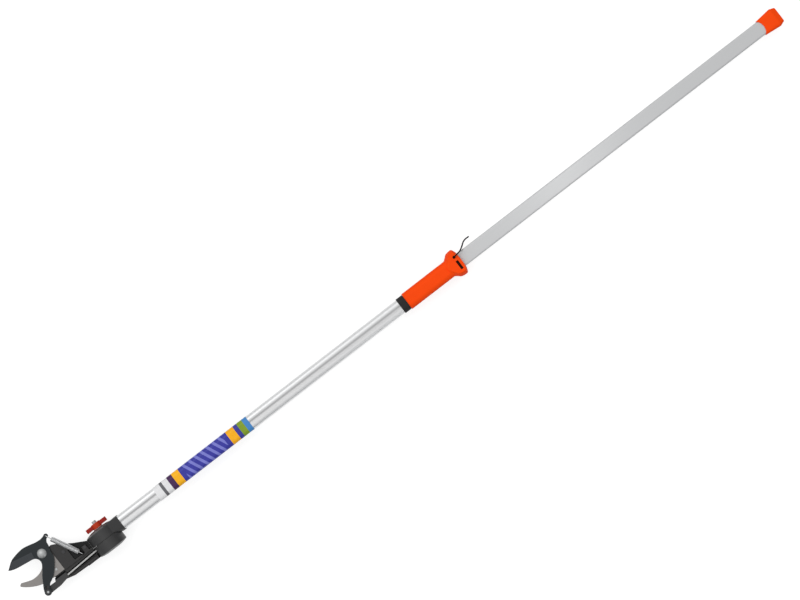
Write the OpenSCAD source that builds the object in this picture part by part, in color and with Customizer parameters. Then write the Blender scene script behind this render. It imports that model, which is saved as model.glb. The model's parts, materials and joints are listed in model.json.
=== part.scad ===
// Tree pruner pole: a 1.6 m pole with a swivelling bypass cutting head, worked by a sliding grip.
// The pole lies along X with the butt face at the origin, and the flat of the head lies in the XY plane.

/* [Pole] */
// Width of both tubes
tube_w = 26; // [24:0.5:30]
// Height of the head-side tube
head_tube_h = 26; // [25:0.5:32]
// Height of the flat handle-side tube
handle_tube_h = 14; // [10:0.5:15]
// Wall of both tubes
tube_wall = 1.5; // [1.2:0.1:1.8]
// Corner radius of the head-side tube
head_tube_r = 7.5; // [5:0.5:8]
// Corner radius of the handle-side tube
handle_tube_r = 3; // [2:0.5:5]
// Depth of the groove along the head-side tube
groove_depth = 0.8; // [0.3:0.1:1]
// Handle-side tube that shows between the end cap and the grip
handle_run = 638; // [400:1:900]
// Head-side tube that shows between the collar and the swivel
head_run = 594; // [500:1:900]
// Length of the film around the head-side tube
label_len = 198; // [100:1:220]
// Gap from the swivel to the film
label_gap = 76; // [60:1:120]
// Thickness of the film
label_t = 0.2; // [0.1:0.05:0.4]

/* [End cap] */
// Length of the end cap
cap_len = 38; // [28:1:60]
// Width of the butt face
cap_face_w = 28; // [24:0.5:32]
// Depth of the hollow in the cap's front rim
cap_scoop = 5; // [2:0.5:6]
// Greatest width of the cap
cap_max_w = 34.5; // [31:0.5:40]
// Distance of the widest place from the butt face
cap_bulge = 9; // [6:0.5:12]
// Thickness of the closed end
cap_floor = 4; // [2:0.5:6]

/* [Grip] */
// Length of the grip
grip_len = 116; // [90:1:150]
// Width of the grip sleeve
grip_w = 31; // [30.5:0.5:36]
// Height of the grip sleeve
grip_h = 26; // [25.5:0.5:32]
// Radius of the flange
flange_r = 24.2; // [21:0.2:28]
// Length of the flange and its flare
flange_len = 28; // [24:1:36]
// Distance from the axis to the flats of the flange
flange_flat = 16; // [15:0.5:20]
// Play of the grip on the tube
slide_play = 0.3; // [0.3:0.05:0.6]
// Travel of the grip
grip_travel = 90; // [60:1:96]
// Length of each slide bush
bush_len = 7; // [4:0.5:12]
// Wall of the slide bushes
bush_wall = 1; // [0.8:0.1:1.2]

/* [Collar and connector] */
// Length of the collar
collar_len = 13; // [10:0.5:20]
// Wall of the collar outside the tube
collar_wall = 1.3; // [1:0.1:2]
// Thickness of the web that closes the collar
collar_web = 5; // [3:0.5:7]
// Length of the connector in each tube
connector_len = 58; // [40:1:80]

/* [Ropes and sheaves] */
// Diameter of the pull rope
rope_d = 2.5; // [2:0.1:2.8]
// Diameter of the cord that pulls the link
cord_d = 2.8; // [2:0.1:3]
// Distance of the rope from the middle of the pole
rope_side = 5; // [4:0.5:5.5]
// Distance from the collar to the sheave of the block
tackle_ahead = 295; // [200:1:340]
// Radius of the cord's turn at the swivel
turn_r = 4; // [3.6:0.1:4]
// Radius of the stopper knot
knot_r = 3.2; // [2.8:0.1:3.2]

/* [Swivel] */
// Radius of the swivel drum
swivel_r = 28; // [27:0.5:32]
// Distance from the end of the visible tube to the swivel axis
socket_reach = 37; // [36:0.5:45]
// Height of the socket above the pole axis
socket_top = 15.8; // [15.6:0.1:18]
// Distance from the pole axis to the parting face
split_side = 6.7; // [6:0.1:7.2]
// Distance from the pole axis to the bottom of the base
base_side = 28.7; // [27:0.1:34]
// Depth that the tube goes into the socket
seat_depth = 7; // [4:0.5:7]
// Length of the socket's plug inside the tube
plug_len = 60; // [40:1:80]
// Radius of the stud under the wing nut
stud_r = 4; // [3:0.5:5]
// Span of the wing nut
wing_span = 41; // [34:1:48]
// Radius of the wing nut's hub
wing_hub_r = 8.5; // [7:0.5:11]
// Height of the wing nut's hub
wing_hub_h = 9.5; // [8:0.5:12]

/* [Cutting head] */
// Distance from the swivel axis to the blade pivot
pivot_ahead = 101; // [98:0.5:106]
// Distance of the blade pivot from the pole axis
pivot_side = 39.8; // [39.8:0.1:43]
// Thickness of the fixed blade
fixed_t = 4; // [3.6:0.1:5]
// Thickness of the moving blade
blade_t = 4; // [3:0.1:5]
// Thickness of the plate behind the blades
plate_t = 3; // [2:0.1:4]
// Gap between the two blades
blade_gap = 0.1; // [0.05:0.05:0.2]
// Reach of both blades ahead of the pivot
blade_reach = 63; // [56:0.5:72]
// Height of the moving blade's back above the pivot
blade_crown = 26.5; // [24:0.5:30]
// Radius of the pivot bolt
pivot_r = 4; // [3:0.25:4.5]
// Radius of the pivot bolt's domed head
bolt_head_r = 8.3; // [7:0.1:9]
// Drop from the pivot to the link pin
arm_drop = 58; // [58:0.1:60]
// Lead of the link pin ahead of the pivot, jaws open
arm_lead = 31; // [29:0.5:32]
// Radius of the link pin
link_pin_r = 2; // [1.5:0.1:2]
// Play of the link pin across its slot
slot_play = 0.9; // [0.8:0.05:1]
// Clearance of the link in its channel
channel_play = 0.3; // [0.2:0.05:0.4]

/* [Return spring] */
// Outer radius of the spring
spring_r = 4.5; // [3.5:0.1:5]
// Diameter of the spring's wire
wire_d = 1.5; // [1:0.1:1.6]
// Curls of the spring
spring_curls = 22; // [12:1:22]
// Straight lead at each end of the spring
spring_lead = 10; // [8:0.5:14]

/* [Hidden] */
$fn = 48;

// Fits
fit = 0.05;
clear = 0.3;
past = 1;
joint_gap = 0.1;
screw_bite = 2.8;

// Stations along the pole
grip_x = cap_len + handle_run;
collar_x = grip_x + grip_len;
joint_x = collar_x + collar_web;
run_x = collar_x + collar_len;
socket_x = run_x + head_run;
axis_x = socket_x + socket_reach;
seat_x = socket_x + seat_depth;
tackle_x = run_x + tackle_ahead;
knot_x = grip_x + 7.5;

// Bores of the tubes
bore_w = tube_w - 2 * tube_wall;
head_bore_h = head_tube_h - 2 * tube_wall;
handle_bore_h = handle_tube_h - 2 * tube_wall;

// Rope and cord lines
rope_r = rope_d / 2;
cord_r = cord_d / 2;
rope_z = handle_tube_h / 2 + rope_r + 0.65;
rope_y = -rope_side;
hole_play = 0.35;
cord_way_r = cord_r + 1.2;
cord_out_y = 11.2;
lower_y = cord_out_y - turn_r;
sheave_lip = turn_r + 1.2;
upper_y = lower_y - 2 * sheave_lip - 0.6;
cord_in_y = upper_y - turn_r;
sheave_w = 5;
pin_r = 1.25;
cord_split_y = (upper_y + lower_y) / 2 - 0.7;

// Swivel stack along its axis
ring_h = 1.8;
ring_y = -0.9;
bolt_tube_r = 12;
bolt_bore_r = 10.2;
bolt_flange_r = 15;
bolt_flange_h = 2;
bolt_top_y = -13;
bolt_top_t = 2;
stud_end_y = -socket_top - wing_hub_h - 5;
spigot_r = 20;
spigot_bore_r = 16;
base_y = split_side + clear;
washer_t = 0.5;
dome_flat_r = 10;
dome_drop = 4.3;
base_drop = 3;

// Levels of the head, with the fixed blade across the middle
fixed_z = -fixed_t / 2;
plate_z = fixed_z - plate_t;
cover_z = fixed_t / 2 - 0.2;
blade_z = fixed_t / 2 + blade_gap;
blade_top = blade_z + blade_t;
neck_t = 6;
link_z = fixed_z + 0.1;
link_top = fixed_t / 2 - 0.1;
rail_z = fixed_z + 1.4;
skirt_z = rail_z + channel_play;

// Places in the plane of the head
pivot_x = axis_x + pivot_ahead;
pivot_y = -pivot_side;
cover_front = 14;
cover_rise = 12;
cover_bottom = arm_drop - cover_rise;
link_head_r = 5.5;
rail_top = arm_drop - 0.5;
rail_bottom = arm_drop + 6.5;
link_rear = -12;
rear_play = 0.7;
neck_run = 24;
head_rear_x = axis_x + swivel_r + rear_play;
notch_x = axis_x + swivel_r - 4;
neck_end_x = axis_x + swivel_r + neck_run;
neck_side = base_side - 3.2;
blade_rivet_places = [[-2.5, arm_drop - 22], [-7, 20]];
rivet_r = 2.2;
cover_screw_back = 30;
cover_screw_drop = 20;
cover_screw_places = [[pivot_x - cover_screw_back, pivot_y + cover_screw_drop], [head_rear_x + 9.3, -4]];
neck_screw_places = [[neck_end_x - 16, 12], [neck_end_x - 6, 20]];
anchor_back = 17.8;
anchor = [head_rear_x + anchor_back, 2.7];
ear_back = 23;
ear_rise = 19.5;
ear = [pivot_x - ear_back, pivot_y - ear_rise];
ear_r = 4;
plate_boss_r = 11;
fixed_boss_r = 10;
wire_r = wire_d / 2;
hook_r = wire_r + clear;
arm_len = norm([arm_lead, arm_drop]);

// Route of the free end of the rope, from its hole in the flange to beside the pole
tail_route = [[0, -10.6, -2.1], [-0.1, -10.7, 1], [-1.5, -11, 4], [-4.9, -11.5, 5.6], [-8.9, -12, 4.6],
    [-12.5, -12.6, 1.4], [-15.1, -13.4, -3], [-17.7, -14.6, -7.6], [-20.5, -16.2, -12], [-23.5, -18.2, -16.4],
    [-26.3, -20.2, -20.6], [-28.9, -21.8, -24.2], [-31.5, -22.8, -26.8], [-34.5, -23.4, -28.6],
    [-37.9, -23.5, -29.6], [-42.1, -23.3, -30]];
tail_points = [for (p = tail_route) p + [knot_x, 0, flange_flat]];

// A smooth curve through hand-chosen points, without its last point
function curve_at(a, b, c, d, k) =
    0.5 * (2 * b + (c - a) * k + (2 * a - 5 * b + 4 * c - d) * k * k + (3 * b - a - 3 * c + d) * k * k * k);
function curve(p, n = 4) = [for (i = [0:len(p) - 2]) for (j = [0:n - 1])
    curve_at(p[max(i - 1, 0)], p[i], p[i + 1], p[min(i + 2, len(p) - 1)], j / n)];

// Sweeping a round tube along points
function unit(v) = v / norm(v);
function directions(p) = [for (i = [0:len(p) - 1]) unit(p[min(i + 1, len(p) - 1)] - p[max(i - 1, 0)])];
function square_to(n, t) = unit(n - t * (n * t));
function normals(t, start) = [for (i = 0, n = square_to(start, t[0]); i < len(t);
    i = i + 1, n = i < len(t) ? square_to(n, t[i]) : n) n];
function least_gap(p, apart, d) = min([for (i = [0:len(p) - 1]) for (j = [i + apart:1:len(p) - 1])
    norm(p[i] - p[j])]) - d;

module swept_tube(p, r, sides, start) {
    t = directions(p);
    n = normals(t, start);
    last = (len(p) - 1) * sides;
    points = [for (i = [0:len(p) - 1]) for (k = [0:sides - 1])
        p[i] + r * (n[i] * cos(360 * k / sides) + cross(t[i], n[i]) * sin(360 * k / sides))];
    sides_a = [for (i = [0:len(p) - 2]) for (k = [0:sides - 1])
        [i * sides + k, (i + 1) * sides + k, (i + 1) * sides + (k + 1) % sides]];
    sides_b = [for (i = [0:len(p) - 2]) for (k = [0:sides - 1])
        [i * sides + k, (i + 1) * sides + (k + 1) % sides, i * sides + (k + 1) % sides]];
    start_cap = [for (k = [1:sides - 2]) [0, k, k + 1]];
    end_cap_faces = [for (k = [1:sides - 2]) [last, last + k + 1, last + k]];
    polyhedron(points, concat(sides_a, sides_b, start_cap, end_cap_faces));
}

// Shared shapes
module rounded(w, h, r) {
    square([w - 2 * r, h], center = true);
    square([w, h - 2 * r], center = true);
    for (x = [-1, 1])
        for (y = [-1, 1])
            translate([x * (w / 2 - r), y * (h / 2 - r)])
                circle(r);
}

module along_pole(x, length) {
    translate([x, 0, 0])
        rotate([90, 0, 90])
            linear_extrude(length)
                children();
}

module about_swivel(y) {
    translate([axis_x, y, 0])
        rotate([-90, 0, 0])
            children();
}

module pole_rod(x, y, z, r, length) {
    translate([x, y, z])
        rotate([0, 90, 0])
            cylinder(r = r, h = length);
}

module pivot_slab(z, thickness) {
    translate([pivot_x, pivot_y, z])
        linear_extrude(thickness)
            children();
}

module head_pin(place, r, z, length) {
    translate([place[0], place[1], z])
        cylinder(r = r, h = length);
}

module sheave(line_r, line_thick, lip_r, width, bore_r) {
    groove = line_thick / 2 + clear;
    rotate_extrude()
        difference() {
            translate([bore_r, -width / 2])
                square([lip_r - bore_r, width]);
            translate([line_r, 0])
                circle(groove);
            translate([line_r, -groove])
                square([lip_r, 2 * groove]);
        }
}

module cord_quarter() {
    rotate_extrude(angle = 90)
        translate([turn_r, 0])
            circle(cord_r);
}

module drum(edge_r, top, drop) {
    steps = 8;
    rim = [for (i = [0:steps]) let (k = i / steps)
        [dome_flat_r + (edge_r - dome_flat_r) * k, top - drop * k * k]];
    rotate_extrude()
        polygon(concat([[0, 0], [0, top]], rim, [[edge_r, 0]]));
}

// The straight line of the cord from the lower sheave to the link
cord_from = [axis_x + turn_r + 0.2, cord_out_y];
cord_to = [pivot_x + link_rear + 8, pivot_y + arm_drop - 2.5];
cord_angle = atan2(cord_to[1] - cord_from[1], cord_to[0] - cord_from[0]);

module cord_line(r) {
    translate([cord_from[0], cord_from[1], 0])
        rotate([0, 0, cord_angle])
            rotate([0, 90, 0])
                cylinder(r = r, h = norm(cord_to - cord_from));
}

// Pole
module head_tube() {
    groove_r = 6;
    color("silver")
        difference() {
            along_pole(joint_x + joint_gap, seat_x - joint_x - joint_gap)
                difference() {
                    rounded(tube_w, head_tube_h, head_tube_r);
                    rounded(bore_w, head_bore_h, head_tube_r - tube_wall);
                    for (side = [-1, 1])
                        translate([0, side * (head_tube_h / 2 + groove_r - groove_depth)])
                            circle(groove_r);
                }
            connector_screw_holes();
            socket_rivet_holes();
        }
}

module handle_tube() {
    color("darkgray")
        difference() {
            along_pole(cap_floor + joint_gap, joint_x - cap_floor - 2 * joint_gap)
                difference() {
                    rounded(tube_w, handle_tube_h, handle_tube_r);
                    rounded(bore_w, handle_bore_h, max(handle_tube_r - tube_wall, 0.4));
                }
            cap_screw_hole(cap_screw_r);
            connector_screw_holes();
        }
}

// Screws of the connector, flush with the under face of each tube
connector_screw_r = 2;
handle_screw_back = 27;
head_screw_ahead = 33;
connector_screws_at = [[joint_x - handle_screw_back, -handle_tube_h / 2],
    [joint_x + head_screw_ahead, -head_tube_h / 2 + groove_depth]];

module connector_screw_holes() {
    for (place = connector_screws_at)
        translate([place[0], 0, place[1] - past])
            cylinder(r = connector_screw_r + fit, h = past + tube_wall + screw_bite + clear);
}

module connector_screws() {
    color("dimgray")
        for (place = connector_screws_at)
            translate([place[0], 0, place[1]])
                cylinder(r = connector_screw_r, h = tube_wall + screw_bite);
}

module tube_connector() {
    rope_hole = rope_r + hole_play;
    color("dimgray")
        difference() {
            union() {
                along_pole(joint_x - connector_len, connector_len + past)
                    rounded(bore_w - 2 * fit, handle_bore_h - 2 * fit, max(handle_tube_r - tube_wall, 0.4));
                along_pole(joint_x + joint_gap, connector_len)
                    rounded(bore_w - 2 * fit, head_bore_h - 2 * fit, head_tube_r - tube_wall);
            }
            for (side = [-1, 1])
                pole_rod(joint_x - past, rope_y, side * rope_z, rope_hole, connector_len + 3 * past);
            pole_rod(joint_x - past, rope_y, -rope_z, anchor_knot_r + clear, 2 * anchor_knot_r + 2 * past);
            connector_screw_holes();
        }
}

module collar() {
    outer_w = tube_w + 2 * collar_wall;
    outer_h = head_tube_h + 2 * collar_wall;
    color([0.1, 0.1, 0.1])
        difference() {
            along_pole(collar_x, collar_len)
                rounded(outer_w, outer_h, head_tube_r + collar_wall);
            along_pole(joint_x, collar_len)
                rounded(tube_w + 2 * fit, head_tube_h + 2 * fit, head_tube_r);
            along_pole(collar_x - past, collar_web + 2 * past)
                rounded(tube_w + 2 * fit, handle_tube_h + 2 * fit, handle_tube_r);
            pole_rod(collar_x - past, rope_y, rope_z, rope_r + hole_play, collar_web + 2 * past);
        }
}

// End cap, widest a little ahead of the butt face
cap_slim = tube_w - handle_tube_h;
cap_front_w = tube_w + 2.4;
scoop_r = (tube_w * tube_w / 4 + cap_scoop * cap_scoop) / (2 * cap_scoop);
cap_screw_r = 1.5;
cap_screw_x = cap_len - 14;
cap_screw_z = -(cap_front_w - cap_slim) / 2 - 0.6;

module cap_slab(x, w, r) {
    along_pole(x, 0.1)
        rounded(w, w - cap_slim, r, $fn = 32);
}

module cap_screw_hole(r) {
    translate([cap_screw_x, 0, cap_screw_z - 3])
        cylinder(r = r + fit, h = -cap_screw_z + 3 - handle_tube_h / 2 + tube_wall + past);
}

module end_cap() {
    color("orangered")
        difference() {
            hull() {
                cap_slab(0, cap_face_w, 5);
                cap_slab(cap_bulge, cap_max_w, 7);
                cap_slab(cap_len - 0.1, cap_front_w, handle_tube_r + 1.2);
            }
            along_pole(cap_floor, cap_len)
                rounded(tube_w + 2 * fit, handle_tube_h + 2 * fit, handle_tube_r);
            cap_screw_hole(cap_screw_r);
            translate([cap_screw_x, 0, cap_screw_z - 3])
                cylinder(r = 2 * cap_screw_r + fit, h = 3);
            translate([cap_len - cap_scoop + scoop_r, 0, -tube_w])
                cylinder(r = scoop_r, h = 2 * tube_w);
        }
}

module cap_screw() {
    color("dimgray") {
        translate([cap_screw_x, 0, cap_screw_z])
            cylinder(r = cap_screw_r, h = -cap_screw_z - handle_tube_h / 2 + tube_wall);
        translate([cap_screw_x, 0, cap_screw_z - 0.7])
            cylinder(r = 2 * cap_screw_r, h = 0.7);
    }
}

module label_sleeve() {
    film_w = tube_w + 2 * label_t + 0.04;
    film_h = head_tube_h + 2 * label_t + 0.04;
    color("mediumslateblue")
        along_pole(socket_x - label_gap - label_len, label_len)
            difference() {
                rounded(film_w, film_h, head_tube_r + label_t);
                rounded(tube_w + 0.04, head_tube_h + 0.04, head_tube_r);
            }
}

// Rope from a knot in the connector, forward along the tube and round the sheave of the block
anchor_knot_r = 2.4;
anchor_knot_x = joint_x + joint_gap + clear + anchor_knot_r;

module return_rope() {
    color([0.12, 0.12, 0.12]) {
        translate([anchor_knot_x, rope_y, -rope_z])
            sphere(anchor_knot_r);
        pole_rod(anchor_knot_x, rope_y, -rope_z, rope_r, tackle_x - anchor_knot_x);
        translate([tackle_x, rope_y, 0])
            rotate([90, 0, 0])
                rotate([0, 0, -90])
                    rotate_extrude(angle = 180)
                        translate([rope_z, 0])
                            circle(rope_r);
    }
}

// Swivel, pole side
module socket_loft() {
    hull() {
        along_pole(socket_x, 5)
            rounded(tube_w + 2.4, head_tube_h + 2.4, head_tube_r, $fn = 32);
        translate([axis_x - 11, -socket_top + 2.8, -swivel_r + 3.5])
            cube([1, socket_top - 2.8 + 4, 2 * swivel_r - 7]);
    }
}

module swivel_socket() {
    color([0.13, 0.13, 0.13])
        difference() {
            union() {
                difference() {
                    union() {
                        about_swivel(split_side)
                            mirror([0, 0, 1])
                                drum(swivel_r, socket_top + split_side, dome_drop);
                        socket_loft();
                    }
                    about_swivel(split_side)
                        cylinder(r = swivel_r + 0.4, h = base_side);
                    along_pole(socket_x - past, seat_depth + past)
                        rounded(tube_w + 2 * fit, head_tube_h + 2 * fit, head_tube_r);
                }
                along_pole(seat_x - plug_len, plug_len + 0.5)
                    rounded(bore_w - 2 * fit, head_bore_h - 2 * fit, head_tube_r - tube_wall);
            }
            about_swivel(bolt_top_y)
                cylinder(r = bolt_tube_r + fit, h = split_side - bolt_top_y + past);
            about_swivel(ring_y - clear)
                cylinder(r = spigot_r + clear, h = split_side - ring_y + past);
            about_swivel(-socket_top - past)
                cylinder(r = stud_r + fit, h = socket_top + bolt_top_y + 2 * past);
            pole_rod(seat_x - plug_len - past, cord_in_y, 0, cord_way_r, axis_x - seat_x + plug_len);
            socket_rivet_holes();
        }
}

socket_rivet_r = 2.4;
socket_rivet_z = -head_tube_h / 2 + groove_depth;

module socket_rivet_holes() {
    for (k = [1, 2])
        translate([seat_x - k * plug_len / 3, 0, socket_rivet_z - past])
            cylinder(r = socket_rivet_r + fit, h = past + tube_wall + screw_bite + clear);
}

module socket_rivets() {
    color("silver")
        for (k = [1, 2])
            translate([seat_x - k * plug_len / 3, 0, socket_rivet_z])
                cylinder(r = socket_rivet_r, h = tube_wall + screw_bite);
}

module swivel_bolt() {
    flange_y = ring_y + ring_h + 0.2;
    color("gray")
        difference() {
            union() {
                about_swivel(bolt_top_y)
                    cylinder(r = bolt_tube_r, h = flange_y + bolt_flange_h - bolt_top_y);
                about_swivel(flange_y)
                    cylinder(r = bolt_flange_r, h = bolt_flange_h);
                about_swivel(stud_end_y)
                    cylinder(r = stud_r, h = bolt_top_y - stud_end_y + past);
            }
            about_swivel(bolt_top_y + bolt_top_t)
                cylinder(r = bolt_bore_r, h = flange_y + bolt_flange_h - bolt_top_y);
            pole_rod(axis_x - bolt_tube_r - past, cord_in_y, 0, cord_way_r, bolt_tube_r);
            translate([axis_x - turn_r, upper_y, -bolt_tube_r])
                cylinder(r = pin_r + fit, h = 2 * bolt_tube_r);
        }
}

module swivel_washer() {
    color("lightgray")
        about_swivel(-socket_top - washer_t)
            difference() {
                cylinder(r = wing_hub_r + 0.5, h = washer_t);
                translate([0, 0, -past])
                    cylinder(r = stud_r + fit, h = washer_t + 2 * past);
            }
}

module upper_sheave_pin() {
    color("silver")
        translate([axis_x - turn_r, upper_y, -bolt_tube_r + 1])
            cylinder(r = pin_r, h = 2 * bolt_tube_r - 2);
}

module upper_sheave() {
    color("gold")
        translate([axis_x - turn_r, upper_y, 0])
            sheave(turn_r, cord_d, sheave_lip, sheave_w, pin_r + fit);
}

module upper_cord_turn() {
    color("gainsboro") {
        translate([axis_x - turn_r, upper_y, 0])
            rotate([0, 0, -90])
                cord_quarter();
        about_swivel(upper_y)
            cylinder(r = cord_r, h = cord_split_y - upper_y);
    }
}

module wing_nut() {
    hub_y = -socket_top - washer_t - 0.1 - wing_hub_h;
    wing_step = 0.9;
    wing_h = wing_hub_h - 2.4 * wing_step;
    wing_t = 7;
    tip = wing_span / 2 - wing_t / 2;
    color("crimson")
        difference() {
            union() {
                about_swivel(hub_y)
                    cylinder(r = wing_hub_r, h = wing_hub_h);
                about_swivel(hub_y + wing_step)
                    translate([-tip, -wing_t / 2, 0])
                        cube([2 * tip, wing_t, wing_h]);
                for (side = [-1, 1])
                    about_swivel(hub_y + wing_step)
                        translate([side * tip, 0, 0])
                            cylinder(r = wing_t / 2, h = wing_h);
            }
            about_swivel(hub_y - past)
                cylinder(r = stud_r + fit, h = wing_hub_h + 2 * past);
        }
}

// Grip
module flange_solid() {
    neck = grip_w / 2;
    rise = flange_r - neck;
    outline = curve([[0, neck], [0.036 * flange_len, neck + 0.3 * rise],
        [0.09 * flange_len, neck + 0.72 * rise], [0.16 * flange_len, neck + 0.97 * rise],
        [0.32 * flange_len, neck + rise], [0.5 * flange_len, neck + 0.92 * rise],
        [0.61 * flange_len, neck + 0.78 * rise], [0.75 * flange_len, neck + 0.4 * rise],
        [0.88 * flange_len, neck + 0.08 * rise], [flange_len, neck - 0.6]]);
    intersection() {
        translate([grip_x, 0, 0])
            rotate([0, 90, 0])
                rotate_extrude()
                    polygon(concat([[0, 0]], [for (p = outline) [p[1], p[0]]],
                        [[neck - 0.6, flange_len], [0, flange_len]]));
        translate([grip_x - past, -flange_r - past, -flange_flat])
            cube([flange_len + 2 * past, 2 * flange_r + 2 * past, 2 * flange_flat]);
    }
}

grip_end_x = collar_x - 0.2;
grip_corner_r = 10;
slot_len = 16.5;
slot_w = 4.5;
slot_depth = 3.5;
slot_from = -3.3;

module grip_sleeve() {
    play_w = tube_w + 2 * slide_play;
    play_h = handle_tube_h + 2 * slide_play;
    color("orangered")
        difference() {
            union() {
                along_pole(grip_x + 0.4 * flange_len, grip_end_x - grip_x - 0.4 * flange_len)
                    rounded(grip_w, grip_h, grip_corner_r);
                flange_solid();
            }
            along_pole(grip_x - past, grip_len + 2 * past)
                rounded(play_w, play_h, handle_tube_r + slide_play);
            for (x = [grip_x - past, grip_end_x - bush_len])
                along_pole(x, bush_len + past)
                    rounded(play_w + 2 * bush_wall, play_h + 2 * bush_wall,
                        handle_tube_r + slide_play + bush_wall);
            translate([knot_x, rope_y - rope_r - hole_play, 0])
                cube([grip_len, rope_d + 2 * hole_play, rope_z + rope_r + hole_play]);
            translate(knot_place)
                sphere(knot_r + knot_play);
            translate([knot_x, tail_points[0][1], rope_z])
                cylinder(r = rope_d, h = flange_flat);
            translate([knot_x - slot_w / 2, slot_from, flange_flat - slot_depth])
                cube([slot_w, slot_len, slot_depth + past]);
        }
}

module grip_bush(x) {
    play_w = tube_w + 2 * slide_play;
    play_h = handle_tube_h + 2 * slide_play;
    wall = 2 * (bush_wall - fit);
    color([0.2, 0.2, 0.2])
        difference() {
            along_pole(x, bush_len - fit)
                rounded(play_w + wall, play_h + wall, handle_tube_r + slide_play + bush_wall);
            along_pole(x - past, bush_len + 2 * past)
                rounded(play_w, play_h, handle_tube_r + slide_play);
            translate([x - past, rope_y - rope_r - hole_play, 0])
                cube([bush_len + 2 * past, rope_d + 2 * hole_play, grip_h]);
            translate(knot_place)
                sphere(knot_r + knot_play);
        }
}

module grip_bush_front() {
    grip_bush(grip_end_x - bush_len + fit);
}

module grip_bush_rear() {
    grip_bush(grip_x);
}

// Rope from its stopper knot in the flange to the sheave of the block
knot_play = 0.4;
knot_place = [knot_x, rope_y - 3.4, handle_tube_h / 2 + slide_play + 0.2 + knot_r];

module pull_rope() {
    color([0.12, 0.12, 0.12]) {
        translate(knot_place)
            sphere(knot_r);
        pole_rod(knot_x, rope_y, rope_z, rope_r, tackle_x - knot_x - 0.2);
    }
}

module cord_tail() {
    color([0.08, 0.08, 0.08])
        swept_tube(tail_points, rope_r, 8, [1, 0, 0]);
}

// Block inside the head-side tube
cheek_gap = 0.3;
cheek_t = 1.2;
cheek_h = 10;
tackle_w = 4.6;
bridge_len = 12;
bridge_wall = 1.2;
cord_bite = 8;
tackle_pin_r = 2;
tackle_spare = 10;
tackle_len = grip_travel / 2 + rope_z + rope_r + tackle_spare + bridge_len;

module tackle_block() {
    inner = tackle_w / 2 + cheek_gap;
    outer = inner + cheek_t;
    tail = 6;
    bridge_y = min(rope_y - outer, cord_in_y - cord_r - bridge_wall);
    color("gray")
        difference() {
            union() {
                for (side = [-outer, inner])
                    translate([tackle_x - tail, rope_y + side, -cheek_h / 2])
                        cube([tackle_len + tail, cheek_t, cheek_h]);
                translate([tackle_x + tackle_len - bridge_len, bridge_y, -cheek_h / 2])
                    cube([bridge_len, rope_y + outer - bridge_y, cheek_h]);
            }
            translate([tackle_x, rope_y - outer - past, 0])
                rotate([-90, 0, 0])
                    cylinder(r = tackle_pin_r + fit, h = 2 * outer + 2 * past);
            pole_rod(tackle_x + tackle_len - cord_bite, cord_in_y, 0, cord_r + fit, cord_bite + past);
        }
}

module tackle_sheave_pin() {
    reach = tackle_w / 2 + cheek_gap + cheek_t;
    color("silver")
        translate([tackle_x, rope_y - reach, 0])
            rotate([-90, 0, 0])
                cylinder(r = tackle_pin_r, h = 2 * reach);
}

module tackle_sheave() {
    color("gold")
        translate([tackle_x, rope_y, 0])
            rotate([90, 0, 0])
                sheave(rope_z, rope_d, rope_z + 1.4, tackle_w, tackle_pin_r + fit);
}

module tube_cord() {
    start = tackle_x + tackle_len - cord_bite;
    color("gainsboro")
        pole_rod(start, cord_in_y, 0, cord_r, axis_x - turn_r - 0.2 - start);
}

// Swivel, head side
module swivel_base() {
    color([0.14, 0.14, 0.14])
        difference() {
            union() {
                about_swivel(base_y)
                    drum(swivel_r, base_side - base_y, base_drop);
                about_swivel(ring_y)
                    cylinder(r = spigot_r, h = base_y - ring_y + past);
                translate([axis_x + 20, base_y, plate_z - neck_t])
                    cube([neck_end_x - axis_x - 20, neck_side - base_y, neck_t]);
            }
            translate([notch_x, base_y + 1.6, plate_z])
                cube([swivel_r, base_side, 2 * swivel_r]);
            about_swivel(ring_y + ring_h)
                cylinder(r = spigot_bore_r, h = base_side - 4.7 - ring_y - ring_h);
            about_swivel(ring_y - past)
                cylinder(r = bolt_tube_r + 0.1, h = ring_h + 2 * past);
            translate([axis_x + 10, cord_out_y - 2.2, -3])
                cube([swivel_r, 8, 6]);
            translate([axis_x + turn_r, lower_y, -spigot_bore_r - 2])
                cylinder(r = pin_r + fit, h = 2 * spigot_bore_r + 4);
            for (place = neck_screw_places)
                head_pin(place, neck_screw_r + fit, plate_z - neck_t - past, neck_t + 2 * past);
        }
}

module lower_sheave_pin() {
    color("silver")
        translate([axis_x + turn_r, lower_y, -spigot_bore_r - 1.8])
            cylinder(r = pin_r, h = 2 * spigot_bore_r + 3.6);
}

module lower_sheave() {
    color("gold")
        translate([axis_x + turn_r, lower_y, 0])
            sheave(turn_r, cord_d, sheave_lip, sheave_w, pin_r + fit);
}

module lower_cord_turn() {
    color("gainsboro") {
        translate([axis_x + turn_r, lower_y, 0])
            rotate([0, 0, 90])
                cord_quarter();
        about_swivel(cord_split_y + clear)
            cylinder(r = cord_r, h = lower_y - cord_split_y - clear);
    }
}

// Plates of the head. Outlines run from the pivot, and their rear edges from the swivel.
cover_rear = head_rear_x - pivot_x;
rail_rear = notch_x + clear - pivot_x;
plate_step = base_y + 1.8 + pivot_side;
cover_edge = [[-19, -2.5], [-28, 2.5], [-34, 10.5], [-44, 13.5], [cover_rear + 20.3, 18.5],
    [cover_rear, 29.5]];
rail_edge = [[-4, rail_top + 1.5], [-12, rail_bottom - 3.5], [-22, rail_bottom - 1],
    [rail_rear, neck_side + pivot_side]];
plate_nose = [[9, 6], [9, cover_bottom - 2]];

module cover_outline() {
    polygon(concat([[-cover_front, -1.2]], curve(cover_edge, 3), [cover_edge[len(cover_edge) - 1],
        [cover_rear, cover_bottom], [-cover_front, cover_bottom]]));
}

module rail_outline() {
    polygon(concat([[rail_edge[0][0], rail_top]], rail_edge, [[rail_rear, rail_top]]));
}

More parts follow.
